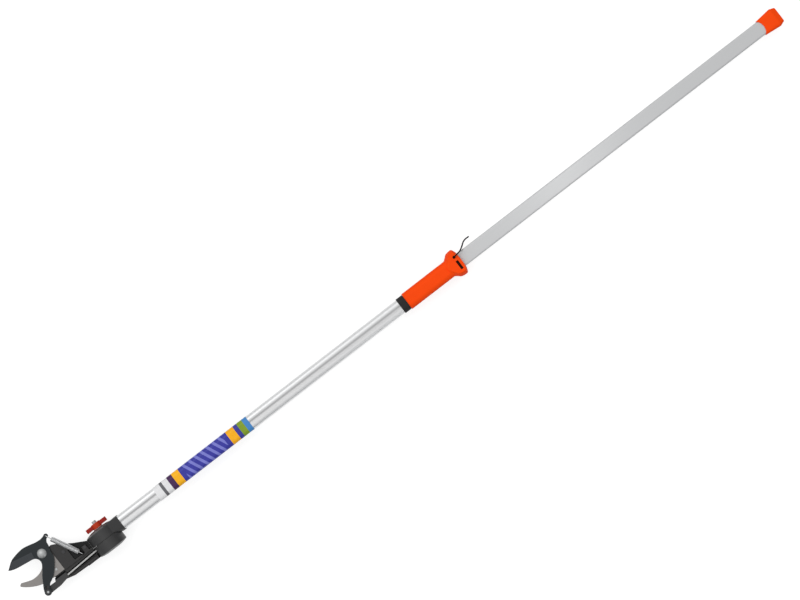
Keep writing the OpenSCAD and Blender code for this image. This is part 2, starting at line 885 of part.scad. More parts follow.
module plate_outline() {
    polygon(concat(plate_nose, rail_edge, [[rail_rear, plate_step], [cover_rear, plate_step],
        [cover_rear, cover_bottom], [-cover_front, cover_bottom], [-cover_front, 0]]));
}

module head_back_plate() {
    color([0.16, 0.15, 0.14])
        difference() {
            union() {
                pivot_slab(plate_z, plate_t)
                    plate_outline();
                pivot_slab(plate_z, plate_t)
                    cover_outline();
                head_pin([pivot_x, pivot_y], plate_boss_r, plate_z, plate_t);
                pivot_slab(fixed_z, rail_z - fixed_z)
                    rail_outline();
            }
            head_pin([pivot_x, pivot_y], pivot_r + fit, plate_z - past, plate_t + 2 * past);
            for (place = blade_rivet_places)
                head_pin([pivot_x, pivot_y] + place, rivet_r + fit, plate_z - past, plate_t + 2 * past);
            for (place = cover_screw_places)
                head_pin(place, cover_screw_r + fit, plate_z - past, plate_t + 2 * past);
            for (place = neck_screw_places)
                head_pin(place, neck_screw_r + fit, plate_z - past, plate_t + past - 0.4);
        }
}

neck_screw_r = 2;

module neck_screws() {
    color("dimgray")
        for (place = neck_screw_places) {
            head_pin(place, neck_screw_r, plate_z - neck_t, neck_t + plate_t - 0.6);
            head_pin(place, neck_screw_r + 1.5, plate_z - neck_t - 1.8, 1.8);
        }
}

module head_cover() {
    color([0.17, 0.16, 0.15])
        difference() {
            pivot_slab(fixed_z, cover_z - fixed_z)
                cover_outline();
            for (place = cover_screw_places)
                head_pin(place, cover_screw_r + fit, fixed_z - past, fixed_t + past);
            head_pin(anchor, hook_r, fixed_z + 0.6, fixed_t);
        }
}

cover_screw_r = 1.6;

module cover_screws() {
    color("dimgray")
        for (place = cover_screw_places) {
            head_pin(place, cover_screw_r, plate_z, cover_z - plate_z);
            head_pin(place, cover_screw_r + 1.4, cover_z, 1.4);
        }
}

fixed_rear = -cover_front + 0.2;
fixed_bottom = cover_bottom - 1.5;
jaw_bend = 20;
jaw_root = 28;
fixed_inner_edge = [[blade_reach - 4, 18.5], [blade_reach - jaw_bend, 24.5], [blade_reach - jaw_root, 25.5],
    [28, 25], [21, 23], [15, 19], [11, 13], [10, 6]];
fixed_outer_edge = [[29, 42.5], [38, 39.5], [blade_reach - 15, 34.5], [blade_reach - 6, 28.5],
    [blade_reach, 23]];
fixed_heel = [[10, 6], [10, 0], [fixed_rear, 0], [fixed_rear, fixed_bottom], [9, fixed_bottom]];
fixed_tip = [[blade_reach, 23], [blade_reach, 21]];

module fixed_outline() {
    polygon(concat(curve(fixed_inner_edge), fixed_heel, curve(fixed_outer_edge), fixed_tip));
}

module fixed_blade() {
    color("darkgray")
        difference() {
            union() {
                pivot_slab(fixed_z, fixed_t)
                    fixed_outline();
                head_pin([pivot_x, pivot_y], fixed_boss_r, fixed_z, fixed_t);
            }
            head_pin([pivot_x, pivot_y], pivot_r + fit, fixed_z - past, fixed_t + 2 * past);
            for (place = blade_rivet_places)
                head_pin([pivot_x, pivot_y] + place, rivet_r + fit, fixed_z - past, fixed_t + 2 * past);
        }
}

module blade_rivets() {
    color("whitesmoke")
        for (place = blade_rivet_places)
            head_pin([pivot_x, pivot_y] + place, rivet_r, plate_z, plate_t + fixed_t);
}

// Pivot
washer_h = 0.8;
pivot_nut_h = 5.5;

module pivot_bolt() {
    dome_h = 3.4;
    dome_r = (bolt_head_r * bolt_head_r + dome_h * dome_h) / (2 * dome_h);
    head_z = blade_top + 0.1;
    nut_end = plate_z - washer_h - pivot_nut_h;
    color("lightgray") {
        head_pin([pivot_x, pivot_y], pivot_r, nut_end - 1, head_z - nut_end + 1);
        intersection() {
            head_pin([pivot_x, pivot_y], bolt_head_r, head_z, dome_h);
            translate([pivot_x, pivot_y, head_z + dome_h - dome_r])
                sphere(dome_r);
        }
    }
}

module pivot_washer() {
    color("silver")
        difference() {
            head_pin([pivot_x, pivot_y], pivot_r + 3.5, plate_z - washer_h, washer_h);
            head_pin([pivot_x, pivot_y], pivot_r + fit, plate_z - washer_h - past, washer_h + 2 * past);
        }
}

module pivot_nut() {
    nut_z = plate_z - washer_h - pivot_nut_h;
    color("gray")
        difference() {
            translate([pivot_x, pivot_y, nut_z])
                cylinder(r = pivot_r + 3.5, h = pivot_nut_h, $fn = 6);
            head_pin([pivot_x, pivot_y], pivot_r + fit, nut_z - past, pivot_nut_h + 2 * past);
        }
}

// Return spring: one wire from a hole in the cover, round its curls, to a hole in the blade's ear
spring_z = max(blade_top + wire_r + clear, cover_z + spring_r + clear) + 0.1;
spring_dir = unit([ear[0] - anchor[0], ear[1] - anchor[1], 0]);
spring_side = cross([0, 0, 1], spring_dir);
spring_start = [anchor[0], anchor[1], spring_z];
spring_span = norm([ear[0] - anchor[0], ear[1] - anchor[1]]);
curl_len = spring_span - 2 * spring_lead;
curl_r = spring_r - wire_r;
curl_rings = 8;

function ease(k) = k * k * (3 - 2 * k);
function curl_at(k) =
    let (turn = k * spring_curls, grow = ease(min(1, turn / 0.75, (spring_curls - turn) / 0.75)))
    spring_start + spring_dir * (spring_lead + curl_len * k)
    + curl_r * grow * (spring_side * cos(360 * turn) + [0, 0, 1] * sin(360 * turn));
function hook(place, foot, to) = [[place[0], place[1], foot], [place[0], place[1], foot + wire_d],
    [place[0], place[1], spring_z - 1.6], [place[0], place[1], spring_z - 0.5] + to * 0.5,
    [place[0], place[1], spring_z] + to * 1.6];
ear_hook = hook(ear, blade_z - 1, -spring_dir);
spring_points = concat(hook(anchor, fixed_z + 0.9, spring_dir),
    [for (i = [0:spring_curls * curl_rings]) curl_at(i / (spring_curls * curl_rings))],
    [for (i = [len(ear_hook) - 1:-1:0]) ear_hook[i]]);

module return_spring() {
    echo(spring_least_gap = least_gap(spring_points, 6, wire_d));
    color("silver")
        swept_tube(spring_points, wire_r, 6, [1, 0, 0]);
}

// Moving blade
back_bend = 25;
back_edge = [[blade_reach, -11], [blade_reach - 6, -15.5], [blade_reach - 15, 5 - blade_crown],
    [blade_reach - back_bend, 2 - blade_crown], [21, -blade_crown], [6, 3 - blade_crown], [-2, -21.5],
    [-12, -20.5], [-19, -21.8], [-23.5, -23.4]];
heel_edge = [[-26, -17], [-22, -15.5], [-18, -10.5], [-17, -4], [-14, 6], [-13, 16], [-7, 25.5], [-1, 33],
    [7, 41], [14, 45.6], [19.5, 48.4], [22.6, 52], [arm_lead - 6.5, arm_drop - 2], [arm_lead - 6, arm_drop]];
belly_edge = [[arm_lead + 6, arm_drop - 1], [34.5, 50], [30, 42.5], [23, 31], [14, 19.5], [10.3, 12.5],
    [10, 8], [11, 4.5], [14, 1], [19, -1.2], [28, -2.5], [blade_reach - 15, -5.5], [blade_reach - 6, -8],
    [blade_reach, -11]];

module blade_outline() {
    polygon(concat(curve(back_edge), curve(heel_edge), curve(belly_edge)));
}

module slot_in_arm() {
    slot_r = link_pin_r + slot_play;
    slot_start = arm_drop - 0.6;
    slot_end = arm_len + 0.4;
    turn = atan2(arm_drop, arm_lead) - 0.5;
    translate([pivot_x, pivot_y, blade_z - past])
        rotate([0, 0, turn])
            linear_extrude(blade_t + 2 * past)
                union() {
                    translate([slot_start, -slot_r])
                        square([slot_end - slot_start, 2 * slot_r]);
                    for (x = [slot_start, slot_end])
                        translate([x, 0])
                            circle(slot_r);
                }
}

bush_outer_r = pivot_r + 1.5;

module cutting_blade() {
    color([0.14, 0.15, 0.17])
        difference() {
            union() {
                pivot_slab(blade_z, blade_t)
                    blade_outline();
                head_pin([pivot_x + arm_lead, pivot_y + arm_drop], link_head_r + 0.8, blade_z, blade_t);
                head_pin(ear, ear_r, blade_z, blade_t);
            }
            head_pin([pivot_x, pivot_y], bush_outer_r + fit, blade_z - past, blade_t + 2 * past);
            head_pin(ear, hook_r, blade_z - past, blade_t + 2 * past);
            slot_in_arm();
        }
}

module pivot_bush() {
    color("goldenrod")
        difference() {
            head_pin([pivot_x, pivot_y], bush_outer_r, blade_z, blade_t);
            head_pin([pivot_x, pivot_y], pivot_r + fit, blade_z - past, blade_t + 2 * past);
        }
}

// Pull link, which slides between the cover and the rail with a thin skirt over the rail
link_top_y = cover_bottom + 0.5;
link_waist_y = arm_drop - link_head_r - 1;
link_edge = [[arm_lead + 1, link_top_y], [23, link_top_y], [22.5, link_waist_y], [11, link_waist_y],
    [9, link_top_y], [link_rear, link_top_y], [link_rear, arm_drop + 1.2], [-7, arm_drop + 1.5],
    [-2, arm_drop + 2.5], [8, arm_drop + 4.4], [arm_lead, arm_drop + link_head_r - 0.6],
    [arm_lead + 3.5, arm_drop + 2]];

module link_outline() {
    polygon(link_edge);
    translate([arm_lead, arm_drop])
        circle(link_head_r);
}

module pull_link() {
    color([0.12, 0.12, 0.12])
        difference() {
            union() {
                pivot_slab(skirt_z, link_top - skirt_z)
                    link_outline();
                pivot_slab(link_z, link_top - link_z)
                    intersection() {
                        link_outline();
                        translate([-blade_reach, 0])
                            square([2 * blade_reach, rail_top - channel_play]);
                    }
            }
            cord_line(cord_r + fit);
            head_pin([pivot_x + arm_lead, pivot_y + arm_drop], link_pin_r + fit, link_z - past,
                fixed_t + 2 * past);
        }
}

link_washer_h = 0.8;

module link_pin() {
    color("whitesmoke")
        head_pin([pivot_x + arm_lead, pivot_y + arm_drop], link_pin_r, skirt_z,
            blade_top + 0.1 + link_washer_h + 0.3 - skirt_z);
}

module link_washer() {
    color([0.1, 0.1, 0.1])
        difference() {
            head_pin([pivot_x + arm_lead, pivot_y + arm_drop], 2.3 * link_pin_r, blade_top + 0.1,
                link_washer_h);
            head_pin([pivot_x + arm_lead, pivot_y + arm_drop], link_pin_r + fit, blade_top,
                link_washer_h + past);
        }
}

module pull_cord() {
    color("gainsboro")
        cord_line(cord_r);
}

head_tube();
handle_tube();
tube_connector();
connector_screws();
collar();
end_cap();
cap_screw();
label_sleeve();
return_rope();
swivel_socket();
socket_rivets();
swivel_bolt();
swivel_washer();
upper_sheave_pin();
upper_cord_turn();
wing_nut();
grip_sleeve();
grip_bush_front();
grip_bush_rear();
pull_rope();
cord_tail();
tackle_block();
tackle_sheave_pin();
tube_cord();
tackle_sheave();
upper_sheave();
lower_sheave();
swivel_base();
lower_sheave_pin();
lower_cord_turn();
head_back_plate();
neck_screws();
head_cover();
cover_screws();
fixed_blade();
blade_rivets();
pivot_bolt();
pivot_washer();
pivot_nut();
return_spring();
cutting_blade();
pivot_bush();
pull_link();
link_pin();
link_washer();
pull_cord();
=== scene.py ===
import json
import math
import bmesh
import bpy
from mathutils import Matrix, Vector
from mathutils.bvhtree import BVHTree
from mathutils.geometry import intersect_point_line


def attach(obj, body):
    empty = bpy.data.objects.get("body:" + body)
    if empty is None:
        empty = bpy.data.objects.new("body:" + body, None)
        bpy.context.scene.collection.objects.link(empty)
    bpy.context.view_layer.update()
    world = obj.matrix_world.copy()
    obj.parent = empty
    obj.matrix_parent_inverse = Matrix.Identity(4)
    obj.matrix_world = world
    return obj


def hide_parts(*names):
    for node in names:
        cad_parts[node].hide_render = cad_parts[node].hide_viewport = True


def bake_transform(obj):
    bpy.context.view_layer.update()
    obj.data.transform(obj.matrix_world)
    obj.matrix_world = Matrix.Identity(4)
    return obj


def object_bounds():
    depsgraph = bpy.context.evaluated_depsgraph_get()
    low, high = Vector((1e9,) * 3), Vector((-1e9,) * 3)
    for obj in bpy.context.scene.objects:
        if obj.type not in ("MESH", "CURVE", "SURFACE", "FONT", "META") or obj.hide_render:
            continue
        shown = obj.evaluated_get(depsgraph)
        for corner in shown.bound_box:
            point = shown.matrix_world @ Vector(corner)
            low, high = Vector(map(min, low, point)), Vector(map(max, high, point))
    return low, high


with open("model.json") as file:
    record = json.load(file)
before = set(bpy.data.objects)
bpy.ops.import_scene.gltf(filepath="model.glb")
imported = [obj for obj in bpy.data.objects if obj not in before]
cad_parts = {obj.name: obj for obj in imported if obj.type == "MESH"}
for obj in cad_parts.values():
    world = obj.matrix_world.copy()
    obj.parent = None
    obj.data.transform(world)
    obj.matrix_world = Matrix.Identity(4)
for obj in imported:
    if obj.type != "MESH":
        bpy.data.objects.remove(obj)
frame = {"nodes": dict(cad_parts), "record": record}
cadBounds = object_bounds()
nodes = frame["nodes"]
bodyOf = {n: b for b, names in frame["record"]["behaviour"]["bodies"].items() for n in names}
scene = bpy.context.scene
scene.view_settings.view_transform = "Standard"
mm = 0.001
print("frame loaded:", len(nodes), "solids")


# Helpers for objects and nodes

def addObject(name, data):
    thing = bpy.data.objects.new(name, data)
    scene.collection.objects.link(thing)
    return thing


def meshFrom(bm, name):
    mesh = bpy.data.meshes.new(name)
    bm.to_mesh(mesh)
    bm.free()
    return mesh


def finalMesh(thing):
    bpy.context.view_layer.update()
    return bpy.data.meshes.new_from_object(thing.evaluated_get(bpy.context.evaluated_depsgraph_get()))


def feed(tree, socket, value):  # another node's socket is linked, a number or colour is set
    if isinstance(value, bpy.types.NodeSocket):
        tree.links.new(value, socket)
    else:
        socket.default_value = value


def mathNode(tree, operation, *values):
    node = tree.nodes.new("ShaderNodeMath")
    node.operation = operation
    for socket, value in zip(node.inputs, values):
        feed(tree, socket, value)
    return node.outputs[0]


def spreadNode(tree, value, low, high, fromLow, fromHigh):
    node = tree.nodes.new("ShaderNodeMapRange")
    for label, given in (("Value", value), ("From Min", fromLow), ("From Max", fromHigh), ("To Min", low),
                         ("To Max", high)):
        feed(tree, node.inputs[label], given)
    return node.outputs["Result"]


def between(tree, value, low, high):
    above = mathNode(tree, "GREATER_THAN", value, low)
    return mathNode(tree, "MULTIPLY", above, mathNode(tree, "LESS_THAN", value, high))


def noiseNode(tree, vector, scale, detail):
    node = tree.nodes.new("ShaderNodeTexNoise")
    for label, value in (("Vector", vector), ("Scale", scale), ("Detail", detail)):
        feed(tree, node.inputs[label], value)
    return node.outputs["Fac"]


def mixColors(tree, share, first, second):
    node = tree.nodes.new("ShaderNodeMix")
    node.data_type = "RGBA"
    for label, value in (("Factor", share), ("A", first), ("B", second)):
        feed(tree, node.inputs[label], value)
    return node.outputs["Result"]


def objectPlace(tree):
    return tree.nodes.new("ShaderNodeTexCoord").outputs["Object"]


def objectAxes(tree):
    split = tree.nodes.new("ShaderNodeSeparateXYZ")
    tree.links.new(objectPlace(tree), split.inputs[0])
    return split.outputs


# Camera, floor and light

view = {"lens": 135.0, "sensor": 36.0, "across": 1.348, "centre": (0.7991, -0.0092), "turn": 142.34}


def setCamera():
    data = bpy.data.cameras.new("camera")
    data.lens = view["lens"]
    data.sensor_width = view["sensor"]
    camera = addObject("camera", data)
    camera.location = (*view["centre"], view["across"] * view["lens"] / view["sensor"])
    camera.rotation_euler = (0, 0, math.radians(view["turn"]))
    scene.camera = camera


studio = {
    "floorSize": 14.0, "floorX": 0.8, "floorGap": 0.0002,
    "floorColor": (0.40, 0.40, 0.40, 1), "floorGlow": 0.74,
    "skySide": (0.26, 0.265, 0.27, 1), "skyTop": (1.0, 1.0, 1.0, 1),
    "skySpan": (0.10, 0.85), "skyStrength": 1.05,
    "skyLean": (0.15, -0.38),  # the sky is greyer low down, towards -X and towards +Y
    "lamps": [  # name, place, x aimed at, size, power
        ("key", (1.9, -1.4, 2.8), 1.1, 1.8, 14),
        ("side", (0.6, 2.4, 1.4), 0.9, 0.9, 5),
        ("handle", (0.44, -0.02, 0.26), 0.44, 0.12, 0.05)]}


def floorMaterial():
    material = bpy.data.materials.new("paleFloor")
    material.use_nodes = True
    tree = material.node_tree
    tree.nodes.clear()
    paint = tree.nodes.new("ShaderNodeBsdfDiffuse")
    paint.inputs["Color"].default_value = studio["floorColor"]
    path = tree.nodes.new("ShaderNodeLightPath").outputs
    seen = mathNode(tree, "MAXIMUM", path["Is Camera Ray"], path["Is Glossy Ray"])
    seen = mathNode(tree, "MAXIMUM", seen, path["Is Transmission Ray"])
    glow = tree.nodes.new("ShaderNodeEmission")
    tree.links.new(mathNode(tree, "MULTIPLY", seen, studio["floorGlow"]), glow.inputs["Strength"])
    both = tree.nodes.new("ShaderNodeAddShader")
    for socket, part in zip(both.inputs, (paint, glow)):
        tree.links.new(part.outputs[0], socket)
    out = tree.nodes.new("ShaderNodeOutputMaterial")
    tree.links.new(both.outputs[0], out.inputs["Surface"])
    return material


def setFloor():
    bm = bmesh.new()
    bmesh.ops.create_grid(bm, x_segments=1, y_segments=1, size=studio["floorSize"] / 2)
    level = cadBounds[0][2] - studio["floorGap"]
    bmesh.ops.translate(bm, verts=bm.verts, vec=(studio["floorX"], 0, level))
    floor = addObject("floor", meshFrom(bm, "floor"))
    floor.data.materials.append(floorMaterial())


def setSky():
    scene.world = bpy.data.worlds.new("softSky")
    scene.world.use_nodes = True
    tree = scene.world.node_tree
    tree.nodes.clear()
    place = tree.nodes.new("ShaderNodeTexCoord")
    split = tree.nodes.new("ShaderNodeSeparateXYZ")
    tree.links.new(place.outputs["Generated"], split.inputs[0])
    height = split.outputs["Z"]
    for axis, lean in zip("XY", studio["skyLean"]):
        height = mathNode(tree, "MULTIPLY_ADD", split.outputs[axis], lean, height)
    ramp = tree.nodes.new("ShaderNodeValToRGB")
    for mark, position, look in zip(ramp.color_ramp.elements, studio["skySpan"], ("skySide", "skyTop")):
        mark.position = position
        mark.color = studio[look]
    tree.links.new(height, ramp.inputs["Fac"])
    back = tree.nodes.new("ShaderNodeBackground")
    back.inputs["Strength"].default_value = studio["skyStrength"]
    tree.links.new(ramp.outputs["Color"], back.inputs["Color"])
    out = tree.nodes.new("ShaderNodeOutputWorld")
    tree.links.new(back.outputs[0], out.inputs["Surface"])


def setLamps():
    for name, place, aimX, size, power in studio["lamps"]:
        data = bpy.data.lights.new(name, "AREA")
        data.size = size
        data.energy = power
        lamp = addObject(name, data)
        lamp.location = place
        lamp.visible_camera = False
        aim = Vector((aimX, 0, 0)) - Vector(place)
        lamp.rotation_euler = aim.to_track_quat("-Z", "Y").to_euler()


setCamera()
setFloor()
setSky()
setLamps()
print("camera, floor and light set")


# Effects that the finishes share: moulded grain, drawn lines and worn rims

surface = {
    "inputs": [("Color", "Color", (0.5, 0.5, 0.5, 1)), ("Shade", "Float", 0.05), ("Rough", "Float", 0.4),
               ("Rough Spread", "Float", 0.08)],
    "outputs": [("Color", "Color"), ("Roughness", "Float"), ("Height", "Float")],
    "span": (0.35, 0.65)}  # part of the noise that goes from dark to light
grainLook = {"scale": 2600.0, "detail": 2.0, "share": 0.6,
             "cloudScale": 70.0, "cloudDetail": 1.0, "cloudShare": 0.4, "roughSpan": (0.3, 0.7)}
lineLook = {"stretch": (4, 900, 900), "detail": 3.0, "share": 0.65,
            "cloudScale": 14.0, "cloudDetail": 2.0, "cloudShare": 0.35}
rimLook = {"breakup": 260.0, "detail": 4.0, "span": (0.42, 0.62), "amount": 0.3}


def shaderGroup(name, inputs, outputs):
    group = bpy.data.node_groups.new(name, "ShaderNodeTree")
    for label, kind, value in inputs:
        socket = group.interface.new_socket(name=label, in_out="INPUT", socket_type="NodeSocket" + kind)
        socket.default_value = value
    for label, kind in outputs:
        group.interface.new_socket(name=label, in_out="OUTPUT", socket_type="NodeSocket" + kind)
    return group, group.nodes.new("NodeGroupInput").outputs, group.nodes.new("NodeGroupOutput").inputs


def addCloud(group, place, fine, look):
    cloud = noiseNode(group, place, look["cloudScale"], look["cloudDetail"])
    return mathNode(group, "ADD", mathNode(group, "MULTIPLY", fine, look["share"]),
                    mathNode(group, "MULTIPLY", cloud, look["cloudShare"]))


def limits(group, middle, spread):
    return [mathNode(group, step, middle, spread) for step in ("SUBTRACT", "ADD")]


def shadeSurface(group, given, out, tone, rough, roughSpan):
    shade = group.nodes.new("ShaderNodeHueSaturation")
    level = spreadNode(group, tone, *limits(group, 1.0, given["Shade"]), *surface["span"])
    group.links.new(level, shade.inputs["Value"])
    group.links.new(given["Color"], shade.inputs["Color"])
    group.links.new(shade.outputs["Color"], out["Color"])
    level = spreadNode(group, rough, *limits(group, given["Rough"], given["Rough Spread"]), *roughSpan)
    group.links.new(level, out["Roughness"])


def makeGrainGroup():
    inputs = [*surface["inputs"], ("Grain Scale", "Float", grainLook["scale"])]
    group, given, out = shaderGroup("mouldedGrain", inputs, surface["outputs"])
    place = objectPlace(group)
    fine = noiseNode(group, place, given["Grain Scale"], grainLook["detail"])
    tone = addCloud(group, place, fine, grainLook)
    shadeSurface(group, given, out, tone, fine, grainLook["roughSpan"])
    group.links.new(fine, out["Height"])
    return group


def makeLinesGroup():
    inputs = [*surface["inputs"], ("Stretch", "Vector", lineLook["stretch"])]
    group, given, out = shaderGroup("drawnLines", inputs, surface["outputs"])
    place = objectPlace(group)
    mapping = group.nodes.new("ShaderNodeMapping")
    group.links.new(place, mapping.inputs["Vector"])
    group.links.new(given["Stretch"], mapping.inputs["Scale"])
    lines = noiseNode(group, mapping.outputs["Vector"], 1.0, lineLook["detail"])
    tone = addCloud(group, place, lines, lineLook)
    shadeSurface(group, given, out, tone, tone, surface["span"])
    group.links.new(lines, out["Height"])
    return group


def makeRimGroup():
    inputs = [("Color", "Color", (0.1, 0.1, 0.1, 1)), ("Worn", "Color", (0.4, 0.4, 0.4, 1)),
              ("Amount", "Float", rimLook["amount"]), ("Breakup", "Float", rimLook["breakup"])]
    group, given, out = shaderGroup("wornRim", inputs, [("Color", "Color")])
    rim = group.nodes.new("ShaderNodeAttribute")
    rim.attribute_name = "rim"
    patch = noiseNode(group, objectPlace(group), given["Breakup"], rimLook["detail"])
    patch = spreadNode(group, patch, 0.0, 1.0, *rimLook["span"])
    mask = mathNode(group, "MULTIPLY", rim.outputs["Fac"], patch)
    mask = mathNode(group, "MULTIPLY", mask, given["Amount"])
    group.links.new(mixColors(group, mask, given["Color"], given["Worn"]), out["Color"])
    return group


grainGroup = makeGrainGroup()
linesGroup = makeLinesGroup()
rimGroup = makeRimGroup()


# Plastic, metal and rope

plasticLook = {"spread": 0.04, "bump": 0.000006, "lift": (1.35, 0.02)}  # lift: factor and step to a worn edge
metalLook = {"lift": (1.25, 0.03)}
bumpStrength = 0.5


def startMaterial(name):
    material = bpy.data.materials.new(name)
    material.use_nodes = True
    return material, material.node_tree, material.node_tree.nodes["Principled BSDF"]


def placeGroup(tree, group, values):
    node = tree.nodes.new("ShaderNodeGroup")
    node.node_tree = group
    for label, value in values.items():
        feed(tree, node.inputs[label], value)
    return node.outputs


def addBump(tree, shader, height, distance, strength=bumpStrength):
    bump = tree.nodes.new("ShaderNodeBump")
    bump.inputs["Distance"].default_value = distance
    bump.inputs["Strength"].default_value = strength
    tree.links.new(height, bump.inputs["Height"])
    tree.links.new(bump.outputs["Normal"], shader.inputs["Normal"])


def lighter(color, lift):
    return [min(1, c * lift[0] + lift[1]) for c in color]


def dressShader(tree, shader, look, bump, worn=None, wornAmount=rimLook["amount"]):
    color = look["Color"]
    if worn:
        rim = placeGroup(tree, rimGroup, {"Color": color, "Worn": (*worn, 1), "Amount": wornAmount})
        color = rim["Color"]
    tree.links.new(color, shader.inputs["Base Color"])
    tree.links.new(look["Roughness"], shader.inputs["Roughness"])
    addBump(tree, shader, look["Height"], bump)


def plasticMaterial(name, color, rough=0.42, shade=0.025, grain=grainLook["scale"], worn=None,
                    wornAmount=rimLook["amount"], specular=0.3, tint=(1, 1, 1)):
    material, tree, shader = startMaterial(name)
    look = placeGroup(tree, grainGroup, {"Color": (*color, 1), "Shade": shade, "Grain Scale": grain,
                                         "Rough": rough, "Rough Spread": plasticLook["spread"]})
    worn = worn or lighter(color, plasticLook["lift"])
    dressShader(tree, shader, look, plasticLook["bump"], worn, wornAmount)
    shader.inputs["Specular IOR Level"].default_value = specular
    shader.inputs["Specular Tint"].default_value = (*tint, 1)
    return material


def metalMaterial(name, color, stretch, rough=0.3, spread=0.04, shade=0.03, metallic=1.0, bump=0.000002):
    material, tree, shader = startMaterial(name)
    look = placeGroup(tree, linesGroup, {"Color": (*color, 1), "Shade": shade, "Stretch": stretch,
                                         "Rough": rough, "Rough Spread": spread})
    dressShader(tree, shader, look, bump, lighter(color, metalLook["lift"]))
    shader.inputs["Metallic"].default_value = metallic
    return material


braid = {"lean": (8, 20, 38), "pitch": 0.0016, "pitchesPerWave": 3.2, "distortion": 0.6, "span": (0.1, 0.9),
         "fuzzScale": 5200.0, "fuzzDetail": 2.0, "fuzzShare": 0.35,
         "rough": (0.62, 0.86), "roughSpan": (0.3, 0.7), "bump": 0.0002, "bumpStrength": 0.7}


def ropeMaterial(name, color, shade, specular=0.5):
    material, tree, shader = startMaterial(name)
    shader.inputs["Specular IOR Level"].default_value = specular
    place = objectPlace(tree)
    strands = []
    for side in (-1, 1):
        lean = tree.nodes.new("ShaderNodeMapping")
        lean.inputs["Rotation"].default_value = [math.radians(angle * side) for angle in braid["lean"]]
        tree.links.new(place, lean.inputs["Vector"])
        wave = tree.nodes.new("ShaderNodeTexWave")
        wave.inputs["Scale"].default_value = 1 / (braid["pitch"] * braid["pitchesPerWave"])
        wave.inputs["Distortion"].default_value = braid["distortion"]
        tree.links.new(lean.outputs["Vector"], wave.inputs["Vector"])
        strands.append(wave.outputs["Fac"])
    weave = mathNode(tree, "MULTIPLY", *strands)
    fuzz = noiseNode(tree, place, braid["fuzzScale"], braid["fuzzDetail"])
    level = mathNode(tree, "ADD", weave, mathNode(tree, "MULTIPLY", fuzz, braid["fuzzShare"]))
    tone = tree.nodes.new("ShaderNodeHueSaturation")
    tone.inputs["Color"].default_value = (*color, 1)
    tree.links.new(spreadNode(tree, level, 1 - shade, 1 + shade, *braid["span"]), tone.inputs["Value"])
    tree.links.new(tone.outputs["Color"], shader.inputs["Base Color"])
    rough = spreadNode(tree, fuzz, *braid["rough"], *braid["roughSpan"])
    tree.links.new(rough, shader.inputs["Roughness"])
    addBump(tree, shader, weave, braid["bump"], braid["bumpStrength"])
    return material


orangeLook = {"color": (0.96, 0.068, 0.002), "rough": 0.5, "worn": (0.98, 0.16, 0.03), "specular": 0.07}

finish = {
    "satinTube": metalMaterial("satinTube", (0.565, 0.57, 0.575), (3, 1100, 1100), rough=0.55, spread=0.03,
                               shade=0.015, bump=0.0000006),
    "orange": plasticMaterial("orangePlastic", **orangeLook),
    "blackPlastic": plasticMaterial("blackPlastic", (0.019, 0.019, 0.0195), rough=0.40, shade=0.05,
                                    worn=(0.07, 0.07, 0.075), specular=0.5),
    "greyPlastic": plasticMaterial("greyPlastic", (0.13, 0.13, 0.135), rough=0.5, shade=0.05),
    "plated": metalMaterial("platedSteel", (0.40, 0.41, 0.41), (300, 300, 300), rough=0.40, metallic=0.9),
    "darkScrew": metalMaterial("darkScrew", (0.05, 0.05, 0.052), (400, 400, 400), rough=0.4, shade=0.06,
                               metallic=0.8),
    "brass": metalMaterial("turnedBrass", (0.62, 0.44, 0.17), (500, 500, 500), shade=0.06),
    "coverBlack": plasticMaterial("coverPaint", (0.010, 0.009, 0.009), shade=0.05, grain=1900.0,
                                  worn=(0.10, 0.095, 0.09), wornAmount=0.5, specular=0.45),
    "bladeBlack": plasticMaterial("bladeCoat", (0.004, 0.006, 0.008), rough=0.38, shade=0.06, grain=3200.0,
                                  worn=(0.14, 0.14, 0.145), wornAmount=0.55, specular=0.36,
                                  tint=(0.90, 0.98, 1.0)),
    "bladeGrey": metalMaterial("groundBlade", (0.235, 0.222, 0.213), (420, 30, 420), rough=0.42, shade=0.05,
                               metallic=0.85),
    # the wire's colour is set darker to paint the shade between its close coils
    "spring": metalMaterial("springWire", (0.60, 0.605, 0.61), (600, 600, 600)),
    "collarBlack": plasticMaterial("collarPlastic", (0.007, 0.006, 0.006), rough=0.5, shade=0.05,
                                   worn=(0.05, 0.05, 0.05)),
    # painted shade: the cover's black made darker for the floor of the pocket under the spring
    "pocketShade": plasticMaterial("pocketShadePaint", (0.0055, 0.006, 0.0065), rough=0.5, shade=0.06,
                                   worn=(0.07, 0.07, 0.07), specular=0.2),
    # painted shade: a near-black lining for slots, gaps, the cord's channel and the step on the link
    "recessShade": plasticMaterial("recessShade", (0.003, 0.003, 0.003), rough=0.8, shade=0.1, wornAmount=0.0,
                                  specular=0.1),
    "groundEdge": metalMaterial("groundEdge", (0.026, 0.031, 0.036), (500, 40, 40), rough=0.36, spread=0.05,
                                shade=0.12, metallic=0.25),
    "blackRope": ropeMaterial("blackRope", (0.006, 0.006, 0.0065), 0.5, specular=0.12),
    "greyCord": ropeMaterial("greyCord", (0.55, 0.55, 0.54), 0.22)}


# The drawn tube's groove is darkened with painted shade

tubeGroove = {"color": (0.675, 0.68, 0.685), "grooveShade": (0.47, 0.472, 0.475),
              "middle": 0.0002, "span": (0.0016, 0.0064),
              "shade": 0.012, "stretch": (3, 700, 700), "rough": 0.40, "spread": 0.02, "bump": 0.0000004}


